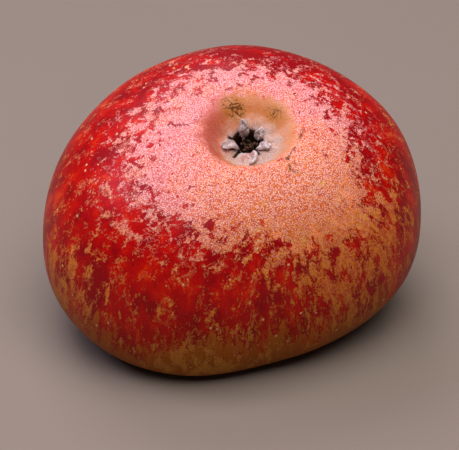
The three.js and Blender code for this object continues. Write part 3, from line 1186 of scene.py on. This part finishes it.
def placed_thread(turn, ring, top, lean, dice):
    made = own_copy(template)
    length = top - TUFT_FLOOR
    bow = dice.uniform(-THREAD_BOW, THREAD_BOW)
    spin = Matrix.Rotation(turn, 3, "Z")
    for vertex in made.data.vertices:
        along = vertex.co.z / THREAD_LENGTH + 0.5
        bend = bow * sin(pi * along)
        out = ring + lean * along**2 + vertex.co.x
        here = spin @ Vector((out, vertex.co.y + bend, 0))
        vertex.co = (here.x, here.y, TUFT_FLOOR + length * along)
    return made


dice = random.Random(5)
threads = []
for number in range(STAMENS):
    turn = 2 * pi * (number + dice.uniform(-STAMEN_STRAY, STAMEN_STRAY)) / STAMENS
    ring, top = dice.uniform(*STAMEN_RING), dice.uniform(*STAMEN_TOP)
    threads.append(placed_thread(turn, ring, top, dice.uniform(*STAMEN_LEAN), dice))
for number in range(STYLES):
    turn = 2 * pi * number / STYLES
    threads.append(placed_thread(turn, STYLE_RING, dice.uniform(*STYLE_TOP), STYLE_LEAN, dice))
bpy.data.objects.remove(template)
print("threads:", len(threads))

# %% Set the tuft on its pad
PAD_RADIUS = 1.8
PAD_FLATNESS = 0.35
PAD_RISE = 0.3
PAD_UNEVENNESS = 0.12
PAD_LUMPS_PER_MM = 2

pad = new_primitive(
    "pad", bpy.ops.mesh.primitive_uv_sphere_add,
    segments=32, ring_count=14, radius=PAD_RADIUS,
    location=(0, 0, TUFT_FLOOR + PAD_RISE), scale=(1, 1, PAD_FLATNESS),
)
bpy.ops.object.transform_apply(location=True, scale=True)
for vertex in pad.data.vertices:
    vertex.co *= 1 + PAD_UNEVENNESS * noise.noise(vertex.co * PAD_LUMPS_PER_MM)
tuft = join_as("dried_stamens", [pad, *threads])
stand_in_eye(tuft)
print("tuft triangles:", triangle_count(tuft))

# %% The finish of the tuft
TUFT_DARK = paint("241206")
TUFT_BROWN = paint("5A3414")
TUFT_DUST = paint("8A6238")

dried, tree = new_material("dried_stamens")
place = millimetre_place(tree)
mottle = cloud(tree, place, scale=1.6)
fibres = felt_grain(tree, place, per_mm=6)
colour = blend(tree, ramp(tree, mottle, 0.4, 0.62), TUFT_DARK, TUFT_BROWN)
colour = blend(tree, ramp(tree, fibres, 0.56, 0.66, high=0.35), colour, TUFT_DUST)
bump = bumped(tree, fibres, distance_mm=0.08)
finish(tuft, dried, {"Base Color": colour, "Roughness": 0.9, "Normal": bump})
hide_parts("stamen_tuft")
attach(tuft, "root")
print("tuft material nodes:", len(tree.nodes))

# %% [markdown]
# ## The stem
# The stem hangs in the cavity underneath. It is a woody stalk that widens to the scar where it left
# the tree. A cylinder is cut across its length, bent and flared, and its end gets a rim and a hollow
# scar by insetting the last face and pushing it in.

# %% Shape the stem from a cylinder
STEM_RADIUS = 1.25
STEM_END_RADIUS = 1.9
STEM_FLARE_START = 0.65
STEM_LENGTH = 11.6
STEM_TOP = 3.7
STEM_BEND = 1.4
STEM_BEND_START = 0.35
STEM_CUTS = 22
STEM_UNEVENNESS = 0.08
STEM_LUMPS_ROUND, STEM_LUMPS_ALONG = 2, 5
STEM_SHARP_ANGLE = radians(50)
SCAR_RIM = 0.22
SCAR_DEPTH = 0.045
FACES_DOWN = -0.9


def stem():
    stalk = new_primitive(
        "stem_wood", bpy.ops.mesh.primitive_cylinder_add,
        vertices=28, radius=1, depth=1, location=(0, 0, 0),
    )
    cut_across(stalk, 0.5, STEM_CUTS)
    for face in stalk.data.polygons:
        face.select = face.normal.z < FACES_DOWN
    mode("EDIT")
    bpy.ops.mesh.select_mode(type="FACE")
    bpy.ops.mesh.inset(thickness=SCAR_RIM)
    bpy.ops.mesh.inset(thickness=SCAR_RIM / 2)
    bpy.ops.transform.translate(value=(0, 0, SCAR_DEPTH))
    mode("OBJECT")
    for vertex in stalk.data.vertices:
        along = 0.5 - vertex.co.z
        flare = smoothstep(along, STEM_FLARE_START, 1)
        radius = STEM_RADIUS + (STEM_END_RADIUS - STEM_RADIUS) * flare
        x, y = vertex.co.x * STEM_LUMPS_ROUND, vertex.co.y * STEM_LUMPS_ROUND
        radius *= 1 + STEM_UNEVENNESS * noise.noise(Vector((x, y, along * STEM_LUMPS_ALONG)))
        sideways = STEM_BEND * smoothstep(along, STEM_BEND_START, 1)
        height = STEM_TOP - STEM_LENGTH * along
        vertex.co = (vertex.co.x * radius + sideways, vertex.co.y * radius, height)
    stalk.data.transform(Matrix.Scale(MM, 4) @ Matrix.Translation(STEM_ROOT))
    only(stalk)
    bpy.ops.object.shade_smooth_by_angle(angle=STEM_SHARP_ANGLE)
    return stalk


stem_piece = stem()
print("stem triangles:", triangle_count(stem_piece))

# %% The bark of the stem
BARK_DARK = paint("3E2814")
BARK_LIGHT = paint("8A6640")
BARK_DUST = paint("A88C6A")

bark, tree = new_material("stem_wood")
place = millimetre_place(tree)
lengthways = stretched(tree, place, (1, 1, 0.25))
furrows = cloud(tree, lengthways, scale=2.4, detail=5, roughness=0.6)
nap = felt_grain(tree, place, per_mm=4)
colour = blend(tree, ramp(tree, furrows, 0.4, 0.62), BARK_DARK, BARK_LIGHT)
colour = blend(tree, ramp(tree, nap, 0.55, 0.68, high=0.4), colour, BARK_DUST)
bump = bumped(tree, furrows, distance_mm=0.15)
finish(stem_piece, bark, {"Base Color": colour, "Roughness": 0.85, "Normal": bump})
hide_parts("stem")
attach(stem_piece, "root")
print("bark material nodes:", len(tree.nodes))

# %% [markdown]
# ## Floor and light
# A pale matt floor and three soft lights, as in a room: a wide one from the ceiling, a window high
# behind the apple on the left, and a smaller window at its left side. A small lamp would give a hard
# bright spot, while the real waxy skin shows a broad pale veil.

# %% Floor
FLOOR_SIZE = 4

floor = new_primitive("floor", bpy.ops.mesh.primitive_plane_add, size=FLOOR_SIZE)
floor_finish, tree = new_material("pale_floor")
here = put(tree, "TexCoord").outputs["Object"]
floor_cloud = cloud(tree, here, scale=6, detail=3)
colour = blend(tree, floor_cloud, paint("7C6E5F"), paint("847667"))
finish(floor, floor_finish, {"Base Color": colour, "Roughness": 0.9})
print("floor, metres wide:", FLOOR_SIZE)

# %% Light
LIGHT_AIM = Vector((0, 0, 25)) * MM
# name, direction from the apple, distance and width in millimetres, watts, colour
LIGHTS = [
    ("window_light", (-0.25, 0.56, 0.78), 700, 420, 2.6, "EAE8FF"),
    ("side_window", (-0.73, 0.05, 0.68), 700, 260, 1.3, "D6D2FF"),
    ("ceiling_light", (0.05, -0.3, 1.0), 800, 740, 9.8, "F8F6FF"),
]

world = bpy.data.worlds.new("studio")
world.use_nodes = True
background = world.node_tree.nodes["Background"]
background.inputs["Color"].default_value = paint("E8ECF2")
background.inputs["Strength"].default_value = 0.06
bpy.context.scene.world = world
bpy.context.scene.view_settings.view_transform = "Standard"

for name, direction, distance, width, watts, code in LIGHTS:
    light = bpy.data.lights.new(name, "AREA")
    light.shape = "SQUARE"
    light.size = width * MM
    light.energy = watts
    light.color = paint(code)[:3]
    light_place = LIGHT_AIM + Vector(direction).normalized() * distance * MM
    aimed(bpy.data.objects.new(name, light), light_place, LIGHT_AIM)
print("lights:", len(LIGHTS))
